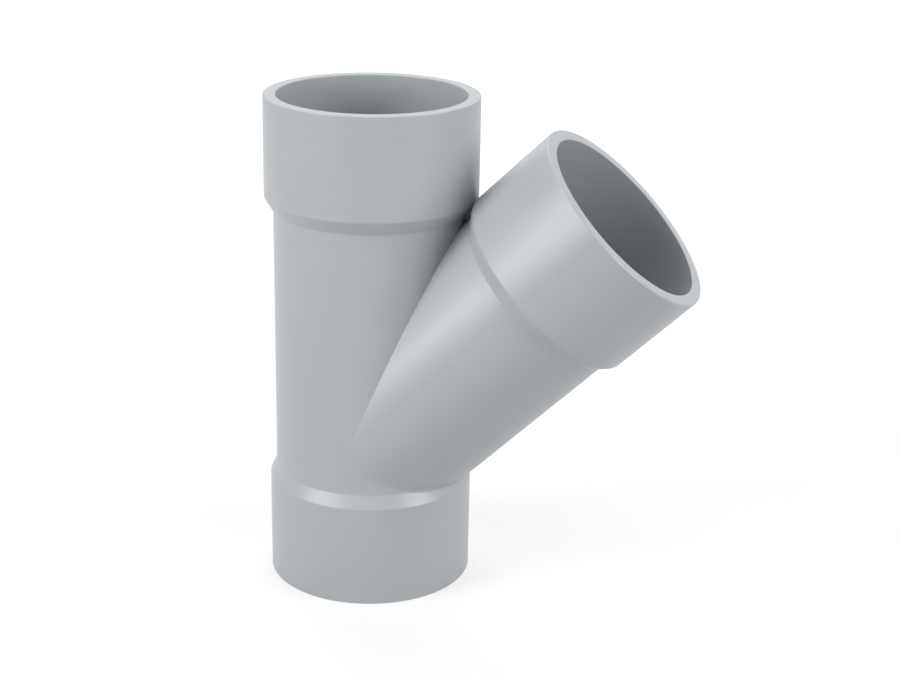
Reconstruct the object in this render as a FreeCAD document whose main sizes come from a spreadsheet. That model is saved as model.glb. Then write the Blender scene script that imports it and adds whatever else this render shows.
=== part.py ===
import FreeCAD, Part
import Sketcher
import os

# Lateral wye fitting for 50 mm pipe, moulded in one piece: a straight run, a branch that
# leaves it at 45 degrees, and a socket for the pipe at each of the three ends.
# The run stands on the rim of its base socket. Z is the run's axis, and the branch leans to +X.

doc = FreeCAD.newDocument("lateral_wye")
sizes = doc.addObject("Spreadsheet::Sheet", "sizes")

# Driving dimensions, in millimetres and degrees
driving = [
    ("pipe_diameter", 50.0, "outside of the pipe that the sockets take"),
    ("pipe_clearance", 0.2, "the sockets are this much wider than the pipe"),
    ("socket_depth", 29.0, "from a socket's rim to the ledge that stops the pipe"),
    ("collar_diameter", 57.0, "outside of the upper and the branch socket"),
    ("base_collar_diameter", 55.6, "outside of the base socket"),
    ("body_diameter", 52.2, "outside of the run and the branch between the sockets"),
    ("body_wall", 3.25, "wall of the run and the branch between the sockets"),
    ("shoulder_length", 3.75, "length of the cone between the upper or branch collar and the body"),
    ("base_shoulder_length", 3.4, "length of the cone between the base collar and the body"),
    ("shoulder_setback", 1.85, "upper and branch shoulders begin this far short of the ledge"),
    ("base_setback", 1.1, "the base shoulder begins this far short of the ledge"),
    ("branch_angle", 45.0, "between the branch's axis and the run's"),
    ("ledge_margin", 0.7, "the base ledge lies this far below the branch's bore"),
    ("run_reach", 66.0, "from where the axes cross to the upper ledge"),
    ("branch_reach", 67.6, "from where the axes cross to the branch's ledge"),
    ("rim_round", 0.5, "rounding of each rim's outer edge"),
    ("shoulder_round", 0.4, "rounding of both edges of each shoulder"),
    ("mouth_chamfer", 0.2, "chamfer that breaks the inner edge of a socket's rim"),
    ("web_thickness", 3.0, "web in the crotch, where the two collars all but touch"),
    ("web_width", 2.6, "the web's width across that gap, with its bite into the walls"),
    ("web_root", 2.5, "depth of the web's root in the wall below the crotch"),
    ("web_rise", 0.5, "the web ends this far above where the collars come closest"),
]

# Sizes that follow from them
derived = [
    ("socket_radius", "=(pipe_diameter + pipe_clearance) / 2"),
    ("mouth_radius", "=socket_radius + mouth_chamfer"),
    ("collar_radius", "=collar_diameter / 2"),
    ("base_collar_radius", "=base_collar_diameter / 2"),
    ("body_radius", "=body_diameter / 2"),
    ("bore_radius", "=body_radius - body_wall"),
    ("half_angle", "=branch_angle / 2"),
    ("crossing_height", "=socket_depth + ledge_margin + bore_radius * tan(half_angle * 1deg)"),
    ("base_corner", "=socket_depth - base_setback"),
    ("base_neck", "=base_corner + base_shoulder_length"),
    ("run_ledge", "=crossing_height + run_reach"),
    ("run_corner", "=run_ledge + shoulder_setback"),
    ("run_neck", "=run_corner - shoulder_length"),
    ("run_top", "=run_ledge + socket_depth"),
    ("run_chamfer", "=run_top - mouth_chamfer"),
    ("branch_corner", "=branch_reach + shoulder_setback"),
    ("branch_neck", "=branch_corner - shoulder_length"),
    ("branch_mouth", "=branch_reach + socket_depth"),
    ("branch_chamfer", "=branch_mouth - mouth_chamfer"),
    ("web_left", "=-web_width / 2"),
    ("web_right", "=web_width / 2"),
    ("web_bottom", "=body_radius / sin(half_angle * 1deg) - web_root"),
    ("web_top", "=collar_radius / sin(half_angle * 1deg) + web_rise"),
]
for row, (alias, value, note) in enumerate(driving, start=1):
    sizes.set("A%d" % row, alias)
    sizes.set("B%d" % row, str(value))
    sizes.set("C%d" % row, note)
    sizes.setAlias("B%d" % row, alias)
for row, (alias, formula) in enumerate(derived, start=len(driving) + 2):
    sizes.set("A%d" % row, alias)
    sizes.set("B%d" % row, formula)
    sizes.setAlias("B%d" % row, alias)
doc.recompute()


def size(alias):
    return float(sizes.get(alias))


def addSketch(body, name):
    # a sketch on the body's own XZ plane, where its x is X and its y is Z
    for plane in body.Origin.OriginFeatures:
        if plane.Role == "XZ_Plane":
            sketch = body.newObject("Sketcher::SketchObject", name)
            sketch.AttachmentSupport = [(plane, "")]
            sketch.MapMode = "FlatFace"
            return sketch
    raise RuntimeError("no XZ plane in " + body.Name)


def leanSketch(sketch, angle):
    # the sketch's origin becomes the crossing of the axes, and it leans to +X by an angle
    crossing = FreeCAD.Vector(0, size("crossing_height"), 0)
    lean = FreeCAD.Rotation(FreeCAD.Vector(0, 0, -1), size(angle))
    sketch.AttachmentOffset = FreeCAD.Placement(crossing, lean)
    sketch.setExpression("AttachmentOffset.Base.y", "sizes.crossing_height")
    sketch.setExpression("AttachmentOffset.Rotation.Angle", "sizes.%s * 1deg" % angle)


def holdCorner(sketch, line, direction, alias, value):
    # a line's first end lies on the sketch's axis, or at the distance that the sheet gives
    if alias is None:
        axis = -2 if direction == "X" else -1
        sketch.addConstraint(Sketcher.Constraint("PointOnObject", line, 1, axis))
        return
    distance = Sketcher.Constraint("Distance" + direction, -1, 1, line, 1, value)
    name = "corner_%d_%s" % (line, direction.lower())
    sketch.renameConstraint(sketch.addConstraint(distance), name)
    sketch.setExpression("Constraints." + name, "sizes." + alias)


def roundCorner(sketch, line, alias):
    # rounds the corner at a line's first end, whose sharp place keeps its distances
    arc = sketch.GeometryCount
    sketch.fillet(line, 1, size(alias), True, True)
    name = "round_%d" % line
    sketch.renameConstraint(sketch.addConstraint(Sketcher.Constraint("Radius", arc, size(alias))), name)
    sketch.setExpression("Constraints." + name, "sizes." + alias)


def drawOutline(sketch, corners):
    # a closed outline; a corner's size names are its x, its y and, where it has one, its round
    places = [[size(alias) if alias else 0.0 for alias in corner[:2]] for corner in corners]
    points = [FreeCAD.Vector(x, y, 0) for x, y in places]
    for start, end in zip(points, points[1:] + points[:1]):
        sketch.addGeometry(Part.LineSegment(start, end), False)
    for line in range(len(points)):
        following = (line + 1) % len(points)
        sketch.addConstraint(Sketcher.Constraint("Coincident", line, 2, following, 1))
    for line, corner in enumerate(corners):
        holdCorner(sketch, line, "X", corner[0], points[line].x)
        holdCorner(sketch, line, "Y", corner[1], points[line].y)
    for line, corner in enumerate(corners):
        if len(corner) == 3:
            roundCorner(sketch, line, corner[2])


def turnOutline(body, kind, name, corners, lean=None):
    # a full turn of a half section about its axis: a Revolution adds and a Groove cuts
    sketch = addSketch(body, name + "_section")
    if lean:
        leanSketch(sketch, lean)
    drawOutline(sketch, corners)
    feature = body.newObject("PartDesign::" + kind, name)
    feature.Profile = sketch
    feature.ReferenceAxis = (sketch, ["V_Axis"])
    feature.Angle = 360.0
    sketch.Visibility = False
    doc.recompute()


def addRun(body):
    # outside of the run: base collar, shoulder, body, shoulder, upper collar
    turnOutline(body, "Revolution", "run", [
        (None, None),
        ("base_collar_radius", None, "rim_round"),
        ("base_collar_radius", "base_corner", "shoulder_round"),
        ("body_radius", "base_neck", "shoulder_round"),
        ("body_radius", "run_neck", "shoulder_round"),
        ("collar_radius", "run_corner", "shoulder_round"),
        ("collar_radius", "run_top", "rim_round"),
        (None, "run_top"),
    ])


def addBranch(body):
    # outside of the branch, from the crossing of the axes: body, shoulder, collar
    turnOutline(body, "Revolution", "branch", [
        (None, None),
        ("body_radius", None),
        ("body_radius", "branch_neck", "shoulder_round"),
        ("collar_radius", "branch_corner", "shoulder_round"),
        ("collar_radius", "branch_mouth", "rim_round"),
        (None, "branch_mouth"),
    ], "branch_angle")


def addCrotchWeb(body):
    # halfway between the two axes, from the crotch up to where the collars come closest
    sketch = addSketch(body, "crotch_web_section")
    leanSketch(sketch, "half_angle")
    drawOutline(sketch, [
        ("web_left", "web_bottom"),
        ("web_right", "web_bottom"),
        ("web_right", "web_top"),
        ("web_left", "web_top"),
    ])
    web = body.newObject("PartDesign::Pad", "crotch_web")
    web.Profile = sketch
    web.Midplane = True
    web.Length = size("web_thickness")
    web.setExpression("Length", "sizes.web_thickness")
    sketch.Visibility = False
    doc.recompute()


def cutBores(body):
    # the run's bore, with a socket at either end
    turnOutline(body, "Groove", "run_bore", [
        (None, None),
        ("mouth_radius", None),
        ("socket_radius", "mouth_chamfer"),
        ("socket_radius", "socket_depth"),
        ("bore_radius", "socket_depth"),
        ("bore_radius", "run_ledge"),
        ("socket_radius", "run_ledge"),
        ("socket_radius", "run_chamfer"),
        ("mouth_radius", "run_top"),
        (None, "run_top"),
    ])
    # the branch's bore, which opens into the run's at the crossing of the axes
    turnOutline(body, "Groove", "branch_bore", [
        (None, None),
        ("bore_radius", None),
        ("bore_radius", "branch_reach"),
        ("socket_radius", "branch_reach"),
        ("socket_radius", "branch_chamfer"),
        ("mouth_radius", "branch_mouth"),
        (None, "branch_mouth"),
    ], "branch_angle")


wye = doc.addObject("PartDesign::Body", "wye_fitting")
wye.Label = "wye_fitting"
wye.Placement = FreeCAD.Placement()
addRun(wye)
addBranch(wye)
addCrotchWeb(wye)
cutBores(wye)

for feature in doc.Objects:
    if "Invalid" in feature.State or "Error" in feature.State:
        raise RuntimeError("%s failed to build" % feature.Name)
if wye.Shape.isNull() or not wye.Shape.isValid() or len(wye.Shape.Solids) != 1:
    raise RuntimeError("the fitting isn't one sound solid")

os.makedirs("parts", exist_ok=True)
wye.Shape.exportStep("parts/wye_fitting.step")
box = wye.Shape.optimalBoundingBox()
print("%s: %.1f cm3, %.1f x %.1f x %.1f mm" % (
    wye.Label, wye.Shape.Volume / 1000, box.XLength, box.YLength, box.ZLength))
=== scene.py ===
import math

import bmesh
import bpy
from mathutils import Matrix, Quaternion, Vector


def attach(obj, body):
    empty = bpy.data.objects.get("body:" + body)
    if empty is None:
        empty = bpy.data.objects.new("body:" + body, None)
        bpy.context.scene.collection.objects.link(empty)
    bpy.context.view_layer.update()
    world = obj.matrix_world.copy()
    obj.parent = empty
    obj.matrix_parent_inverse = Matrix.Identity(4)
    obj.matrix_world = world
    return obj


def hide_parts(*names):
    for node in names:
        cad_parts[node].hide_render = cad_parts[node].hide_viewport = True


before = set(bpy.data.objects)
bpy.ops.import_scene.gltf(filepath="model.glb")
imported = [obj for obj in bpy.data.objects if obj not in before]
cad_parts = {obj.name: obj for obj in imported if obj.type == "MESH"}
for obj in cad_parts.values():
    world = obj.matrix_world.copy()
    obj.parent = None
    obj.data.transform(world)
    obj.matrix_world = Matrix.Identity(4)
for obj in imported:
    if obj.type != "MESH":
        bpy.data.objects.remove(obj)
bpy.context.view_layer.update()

mm = 0.001
print("frame loaded")

# The camera stands where the photo was taken from
cameraSettings = {
    "place": Vector((141.8, -428.7, 227.7)) * mm,
    "aim": Vector((22.3, 0.0, 69.3)) * mm,
    "roll": math.radians(1.12),
    "lens": 70.2,
    "sensor": 36.0,
    "clipStart": 10.0 * mm,
}


def placeCamera(settings):
    camera = bpy.data.objects.new("camera", bpy.data.cameras.new("camera"))
    bpy.context.scene.collection.objects.link(camera)
    camera.data.sensor_width = settings["sensor"]
    camera.data.lens = settings["lens"]
    camera.data.clip_start = settings["clipStart"]
    view = (settings["aim"] - settings["place"]).to_track_quat("-Z", "Y")
    turn = view @ Quaternion((0, 0, 1), settings["roll"])
    camera.matrix_world = Matrix.Translation(settings["place"]) @ turn.to_matrix().to_4x4()
    bpy.context.scene.camera = camera


placeCamera(cameraSettings)
print("camera placed")


# A socket of a shader tree; arithmetic on it adds Math nodes
class Socket:
    def __init__(self, tree, output):
        self.tree = tree
        self.output = output

    def maths(self, operation, *values):
        return self.tree.node("ShaderNodeMath", {"operation": operation}, dict(enumerate(values)))

    def __add__(self, other):
        return self.maths("ADD", self, other)

    def __radd__(self, other):
        return self.maths("ADD", other, self)

    def __sub__(self, other):
        return self.maths("SUBTRACT", self, other)

    def __rsub__(self, other):
        return self.maths("SUBTRACT", other, self)

    def __mul__(self, other):
        return self.maths("MULTIPLY", self, other)

    def __rmul__(self, other):
        return self.maths("MULTIPLY", other, self)


# The node tree of a material or a world
class ShaderTree:
    def __init__(self, owner):
        owner.use_nodes = True
        self.tree = owner.node_tree
        self.tree.nodes.clear()

    def node(self, kind, settings=None, inputs=None, output=0):
        new = self.tree.nodes.new(kind)
        for name, value in (settings or {}).items():
            if name == "stops":
                self.setStops(new.color_ramp, value)
            else:
                setattr(new, name, value)
        for name, value in (inputs or {}).items():
            if isinstance(value, Socket):
                self.tree.links.new(value.output, new.inputs[name])
            else:
                new.inputs[name].default_value = value
        return Socket(self, new.outputs[output]) if len(new.outputs) else new

    def setStops(self, ramp, stops):
        # a new ramp has two stops, as many as are set here
        for element, (place, colour) in zip(ramp.elements, stops):
            element.position = place
            element.color = (*colour, 1.0)


# Smooth moulded plastic, bluish light grey, with the faint mottle and grain of the mould
plasticSettings = {
    "light": (0.365, 0.388, 0.405),
    "dark": (0.352, 0.375, 0.392),
    "allDark": 0.3,  # the mottle's noise where the dark ends
    "allLight": 0.7,  # and where it is all light
    "mottleScale": 60.0,
    "mottleDetail": 3.0,
    "grainScale": 900.0,
    "grainDetail": 2.0,
    "noiseRoughness": 0.5,
    "noiseMiddle": 0.5,
    "grainStrength": 0.5,
    "grainHeight": 0.02 * mm,
    "roughness": 0.3,
    "roughnessSpread": 0.05,
    "ior": 1.5,
}


def mouldedPlastic(settings):
    material = bpy.data.materials.new("moulded_plastic")
    tree = ShaderTree(material)
    place = tree.node("ShaderNodeTexCoord", output="Object")
    mottle = tree.node("ShaderNodeTexNoise", {}, {
        "Vector": place, "Scale": settings["mottleScale"], "Detail": settings["mottleDetail"],
        "Roughness": settings["noiseRoughness"]})
    grain = tree.node("ShaderNodeTexNoise", {}, {
        "Vector": place, "Scale": settings["grainScale"], "Detail": settings["grainDetail"],
        "Roughness": settings["noiseRoughness"]})
    stops = [(settings["allDark"], settings["dark"]), (settings["allLight"], settings["light"])]
    colour = tree.node("ShaderNodeValToRGB", {"stops": stops}, {"Fac": mottle})
    uneven = (mottle - settings["noiseMiddle"]) * settings["roughnessSpread"]
    roughness = settings["roughness"] + uneven
    bump = tree.node("ShaderNodeBump", {}, {
        "Height": grain, "Strength": settings["grainStrength"], "Distance": settings["grainHeight"]})
    plastic = tree.node("ShaderNodeBsdfPrincipled", {}, {
        "Base Color": colour, "Roughness": roughness, "IOR": settings["ior"], "Normal": bump})
    tree.node("ShaderNodeOutputMaterial", {}, {"Surface": plastic})
    return material


# The fitting's own sizes; a rounding is its size and its number of segments
wyeSizes = {
    "steps": 240,  # faces in a full turn
    "socketRadius": 25.1 * mm,
    "socketDepth": 29.0 * mm,
    "collarRadius": 28.495 * mm,
    "baseCollarRadius": 27.8 * mm,
    "bodyRadius": 26.1 * mm,
    "boreRadius": 22.85 * mm,
    "shoulderLength": 3.75 * mm,
    "baseShoulderLength": 3.4 * mm,
    "setback": 1.85 * mm,  # from a socket's ledge towards its mouth, to where the collar begins
    "baseSetback": 1.1 * mm,
    "lean": math.radians(45.0),
    "ledgeMargin": 0.7 * mm,  # from the base ledge up to the branch's bore
    "runReach": 66.0 * mm,  # from where the axes cross to the upper ledge
    "branchReach": 67.6 * mm,
    "mouthChamfer": 0.2 * mm,
    "cutterReach": 1.0 * mm,  # past the mouths
    "webWidth": 2.6 * mm,
    "webThickness": 1.6 * mm,
    "webRoot": 2.5 * mm,
    "webRise": -0.3 * mm,
    "rimRound": (0.3 * mm, 5),
    "branchRimRound": (0.5 * mm, 5),
    "shoulderRound": (0.3 * mm, 3),
    "creaseRound": (0.15 * mm, 2),
    "underCreaseRound": (0.8 * mm, 4),
    "boreCreaseRound": (0.4 * mm, 3),
    "mouthRound": (0.06 * mm, 2),
    "ledgeRound": (0.25 * mm, 2),
    "webRound": (0.3 * mm, 3),
    "sharpAngle": math.radians(40.0),
    "faceWeight": 100,  # large faces lead the shading
}

# How near counts as the same place, and how sharp a fold counts as a crease
weldDistance = 0.001 * mm
sliverLength = 0.005 * mm
ringTolerance = 0.01 * mm
branchTolerance = 0.02 * mm
creaseAngle = math.radians(10.0)


def meshObject(name, mesh):
    data = bpy.data.meshes.new(name)
    mesh.to_mesh(data)
    mesh.free()
    piece = bpy.data.objects.new(name, data)
    bpy.context.scene.collection.objects.link(piece)
    return piece


def openMesh(piece):
    mesh = bmesh.new()
    mesh.from_mesh(piece.data)
    return mesh


def closeMesh(piece, mesh):
    mesh.to_mesh(piece.data)
    mesh.free()


def bevelEdges(mesh, edges, amount, segments):
    bmesh.ops.bevel(mesh, geom=edges, offset=amount, offset_type="OFFSET", affect="EDGES",
                    segments=segments, profile=0.5, material=-1, clamp_overlap=False)


def ringEdges(mesh, radius, height, toLocal=Matrix()):
    # the edges of one ring about an axis
    def onRing(vert):
        local = toLocal @ vert.co
        near = abs(math.hypot(local.x, local.y) - radius) + abs(local.z - height)
        return near < ringTolerance

    return [edge for edge in mesh.edges if all(onRing(vert) for vert in edge.verts)]


def junctionEdges(mesh, toLocal, radius, reach):
    # the creases where the branch, or its bore, meets the run
    def onBranch(vert):
        local = toLocal @ vert.co
        return abs(math.hypot(local.x, local.y) - radius) < branchTolerance and local.z < reach

    found = []
    for edge in mesh.edges:
        if all(onBranch(vert) for vert in edge.verts) and len(edge.link_faces) == 2:
            if edge.calc_face_angle() > creaseAngle:
                found.append(edge)
    return found


def spinSolid(corners, steps, rounds=()):
    # a closed solid from a half section of (radius, height) corners, some of them rounded
    mesh = bmesh.new()
    points = [mesh.verts.new((radius, 0.0, height)) for radius, height in corners]
    lines = [mesh.edges.new(pair) for pair in zip(points, points[1:])]
    bmesh.ops.spin(mesh, geom=points + lines, cent=(0, 0, 0), axis=(0, 0, 1),
                   angle=math.tau, steps=steps, use_merge=True)
    bmesh.ops.remove_doubles(mesh, verts=mesh.verts[:], dist=weldDistance)
    bmesh.ops.recalc_face_normals(mesh, faces=mesh.faces[:])
    for corner, amount, segments in rounds:
        bevelEdges(mesh, ringEdges(mesh, *corners[corner]), amount, segments)
    return mesh


def combine(piece, tool, operation):
    # a boolean, applied, after which the tool is gone and the slivers are merged
    modifier = piece.modifiers.new(operation, "BOOLEAN")
    modifier.operation = operation
    modifier.solver = "EXACT"
    modifier.object = tool
    shaped = piece.evaluated_get(bpy.context.evaluated_depsgraph_get())
    piece.data = bpy.data.meshes.new_from_object(shaped)
    piece.modifiers.clear()
    bpy.data.objects.remove(tool)
    mesh = openMesh(piece)
    bmesh.ops.remove_doubles(mesh, verts=mesh.verts[:], dist=sliverLength)
    bmesh.ops.dissolve_degenerate(mesh, edges=mesh.edges[:], dist=sliverLength)
    closeMesh(piece, mesh)


def mouldWye(sizes):
    steps = sizes["steps"]
    halfLean = sizes["lean"] / 2
    crossing = sizes["socketDepth"] + sizes["ledgeMargin"] + sizes["boreRadius"] * math.tan(halfLean)
    lift = Matrix.Translation((0, 0, crossing))
    toBranch = lift @ Matrix.Rotation(sizes["lean"], 4, "Y")
    toCrotch = lift @ Matrix.Rotation(halfLean, 4, "Y")
    fromBranch = toBranch.inverted()
    collar = sizes["collarRadius"]
    baseCollar = sizes["baseCollarRadius"]
    body = sizes["bodyRadius"]
    socket = sizes["socketRadius"]
    bore = sizes["boreRadius"]
    depth = sizes["socketDepth"]
    shoulder = sizes["shoulderLength"]
    baseShoulder = sizes["baseShoulderLength"]
    chamfer = sizes["mouthChamfer"]
    mouth = socket + chamfer
    over = sizes["cutterReach"]
    rim = sizes["rimRound"]
    soft = sizes["shoulderRound"]
    inner = sizes["ledgeRound"]
    fine = sizes["mouthRound"]

    # outside of the run, then of the branch
    baseCorner = depth - sizes["baseSetback"]
    runLedge = crossing + sizes["runReach"]
    runCorner = runLedge + sizes["setback"]
    runTop = runLedge + depth
    run = spinSolid([
        (0, 0), (baseCollar, 0), (baseCollar, baseCorner), (body, baseCorner + baseShoulder),
        (body, runCorner - shoulder), (collar, runCorner), (collar, runTop), (0, runTop),
    ], steps, [(1, *rim), (2, *soft), (3, *soft), (4, *soft), (5, *soft), (6, *rim)])
    wye = meshObject("wye_moulding", run)
    branchLedge = sizes["branchReach"]
    branchCorner = branchLedge + sizes["setback"]
    branchMouth = branchLedge + depth
    branch = spinSolid([
        (0, 0), (body, 0), (body, branchCorner - shoulder), (collar, branchCorner),
        (collar, branchMouth), (0, branchMouth),
    ], steps, [(2, *soft), (3, *soft), (4, *sizes["branchRimRound"])])
    branch.transform(toBranch)
    combine(wye, meshObject("branch", branch), "UNION")

    # the creases between them, almost sharp above the branch and rounder under it
    mesh = openMesh(wye)
    creases = junctionEdges(mesh, fromBranch, body, branchCorner - 2 * shoulder)
    under = [edge for edge in creases if max(vert.co.z for vert in edge.verts) < crossing]
    above = [edge for edge in creases if edge not in under]
    print("creases outside", len(above), "under the branch", len(under))
    bevelEdges(mesh, above, *sizes["creaseRound"])
    bevelEdges(mesh, [edge for edge in under if edge.is_valid], *sizes["underCreaseRound"])
    closeMesh(wye, mesh)

    # web in the crotch
    low = body / math.sin(halfLean) - sizes["webRoot"]
    high = collar / math.sin(halfLean) + sizes["webRise"]
    web = bmesh.new()
    bmesh.ops.create_cube(web, size=1.0)
    bmesh.ops.scale(web, vec=(sizes["webWidth"], sizes["webThickness"], high - low), verts=web.verts[:])
    bmesh.ops.translate(web, vec=(0, 0, (low + high) / 2), verts=web.verts[:])
    bevelEdges(web, web.edges[:], *sizes["webRound"])
    web.transform(toCrotch)
    combine(wye, meshObject("web", web), "UNION")

    # sockets and bores, the run's and then the branch's
    runBore = spinSolid([
        (0, -over), (mouth, -over), (mouth, 0), (socket, chamfer), (socket, depth), (bore, depth),
        (bore, runLedge), (socket, runLedge), (socket, runTop - chamfer), (mouth, runTop),
        (mouth, runTop + over), (0, runTop + over),
    ], steps, [(3, *fine), (4, *inner), (5, *inner), (6, *inner), (7, *inner), (8, *fine)])
    combine(wye, meshObject("run_bore", runBore), "DIFFERENCE")
    branchBore = spinSolid([
        (0, 0), (bore, 0), (bore, branchLedge), (socket, branchLedge),
        (socket, branchMouth - chamfer), (mouth, branchMouth), (mouth, branchMouth + over),
        (0, branchMouth + over),
    ], steps, [(2, *inner), (3, *inner), (4, *fine)])
    branchBore.transform(toBranch)
    combine(wye, meshObject("branch_bore", branchBore), "DIFFERENCE")

    # the crease where the bores cross, and the edges of the three mouths
    mesh = openMesh(wye)
    creases = junctionEdges(mesh, fromBranch, bore, branchLedge - shoulder)
    print("creases inside", len(creases))
    bevelEdges(mesh, creases, *sizes["boreCreaseRound"])
    for height, toLocal in ((0, Matrix()), (runTop, Matrix()), (branchMouth, fromBranch)):
        ring = ringEdges(mesh, mouth, height, toLocal)
        print("rim edges", len(ring))
        bevelEdges(mesh, ring, *fine)
    closeMesh(wye, mesh)
    return wye


wye = mouldWye(wyeSizes)
wye.data.materials.clear()
wye.data.materials.append(mouldedPlastic(plasticSettings))
wye.data.shade_smooth()
wye.data.set_sharp_from_angle(angle=wyeSizes["sharpAngle"])
evenNormals = wye.modifiers.new("even_normals", "WEIGHTED_NORMAL")
evenNormals.weight = wyeSizes["faceWeight"]
evenNormals.keep_sharp = True
print("wye moulded", len(wye.data.polygons))
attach(wye, "root")
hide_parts("wye_fitting")


# Floor, light and background: soft boxes at the sides and above, all round them white
studioSettings = {
    "floorSize": 6.0,
    "floorColour": (0.53, 0.53, 0.53),
    "floorGlow": 0.4,  # by the fitting the camera sees this share of white, and lit floor
    "floorGloss": 0.22,
    "floorFade": (0.35, 0.9),  # metres out, where that share begins to grow, and is whole
    "floorWhite": 1.6,
    "skyLight": 0.04,
    "middle": Vector((30.0, 0.0, 70.0)) * mm,
    "front": -75.4,  # degrees, from the middle towards the camera
    "boxDistance": 1.0,
    # azimuth from the front, height, width, length, watts, and whether gloss shows it
    "softBoxes": {
        "left_high_box": (-64.0, 36.0, 0.42, 0.36, 4.8, True),
        "left_low_box": (-50.0, 12.0, 0.76, 0.36, 4.75, True),
        "right_low_box": (57.0, 12.0, 0.54, 0.36, 4.85, True),
        "right_side_box": (80.0, 34.0, 0.33, 0.36, 3.3, True),
        "right_high_box": (40.0, 56.0, 0.33, 0.36, 0.9, True),
        "top_front_box": (0.0, 78.0, 0.5, 0.4, 1.3, True),
        "top_back_box": (180.0, 70.0, 0.5, 0.4, 1.7, True),
        "back_box": (180.0, 45.0, 0.8, 0.4, 1.6, True),
        "back_fill": (-170.0, 25.0, 1.2, 0.5, 6.2, False),
    },
}
white = (1.0, 1.0, 1.0, 1.0)


def seenDirectly(tree, camera, gloss):
    # how white the surroundings are to the camera, and to what gloss or glass shows of them
    toCamera = tree.node("ShaderNodeLightPath", output="Is Camera Ray")
    toGloss = tree.node("ShaderNodeLightPath", output="Is Glossy Ray")
    toGlass = tree.node("ShaderNodeLightPath", output="Is Transmission Ray")
    return toCamera * camera + toGloss * gloss + toGlass * gloss


def layFloor(settings):
    mesh = bmesh.new()
    bmesh.ops.create_grid(mesh, x_segments=1, y_segments=1, size=settings["floorSize"] / 2)
    floor = meshObject("floor", mesh)
    material = bpy.data.materials.new("floor_white")
    tree = ShaderTree(material)
    plain = tree.node("ShaderNodeBsdfDiffuse", {}, {"Color": (*settings["floorColour"], 1.0)})
    glow = tree.node("ShaderNodeEmission", {}, {"Color": white, "Strength": settings["floorWhite"]})
    place = tree.node("ShaderNodeTexCoord", output="Object")
    distance = tree.node("ShaderNodeVectorMath", {"operation": "LENGTH"}, {0: place}, "Value")
    fadeStart, fadeEnd = settings["floorFade"]
    far = tree.node("ShaderNodeMapRange", {"interpolation_type": "SMOOTHSTEP"}, {
        "Value": distance, "From Min": fadeStart, "From Max": fadeEnd})
    nearGlow = settings["floorGlow"]
    seen = seenDirectly(tree, nearGlow + far * (1.0 - nearGlow), settings["floorGloss"])
    mixed = tree.node("ShaderNodeMixShader", {}, {0: seen, 1: plain, 2: glow})
    tree.node("ShaderNodeOutputMaterial", {}, {"Surface": mixed})
    floor.data.materials.append(material)


def lightWorld(settings):
    world = bpy.data.worlds.new("studio")
    bpy.context.scene.world = world
    tree = ShaderTree(world)
    light = settings["skyLight"]
    background = tree.node("ShaderNodeBackground", {}, {
        "Color": white, "Strength": light + seenDirectly(tree, 1.0, 1.0) * (1.0 - light)})
    tree.node("ShaderNodeOutputWorld", {}, {"Surface": background})


def hangSoftBoxes(settings):
    distance = settings["boxDistance"]
    for name, (around, height, width, length, watts, inGloss) in settings["softBoxes"].items():
        lamp = bpy.data.lights.new(name, "AREA")
        lamp.shape = "RECTANGLE"
        lamp.size = width
        lamp.size_y = length
        lamp.energy = watts
        box = bpy.data.objects.new(name, lamp)
        bpy.context.scene.collection.objects.link(box)
        box.visible_camera = False
        box.visible_glossy = inGloss
        turn = math.radians(settings["front"] + around)
        rise = math.radians(height)
        out = Vector((math.cos(rise) * math.cos(turn), math.cos(rise) * math.sin(turn), math.sin(rise)))
        aim = out.to_track_quat("Z", "Y").to_matrix().to_4x4()
        box.matrix_world = Matrix.Translation(settings["middle"] + out * distance) @ aim


layFloor(studioSettings)
lightWorld(studioSettings)
hangSoftBoxes(studioSettings)
bpy.context.scene.view_settings.view_transform = "Standard"
print("studio lit")
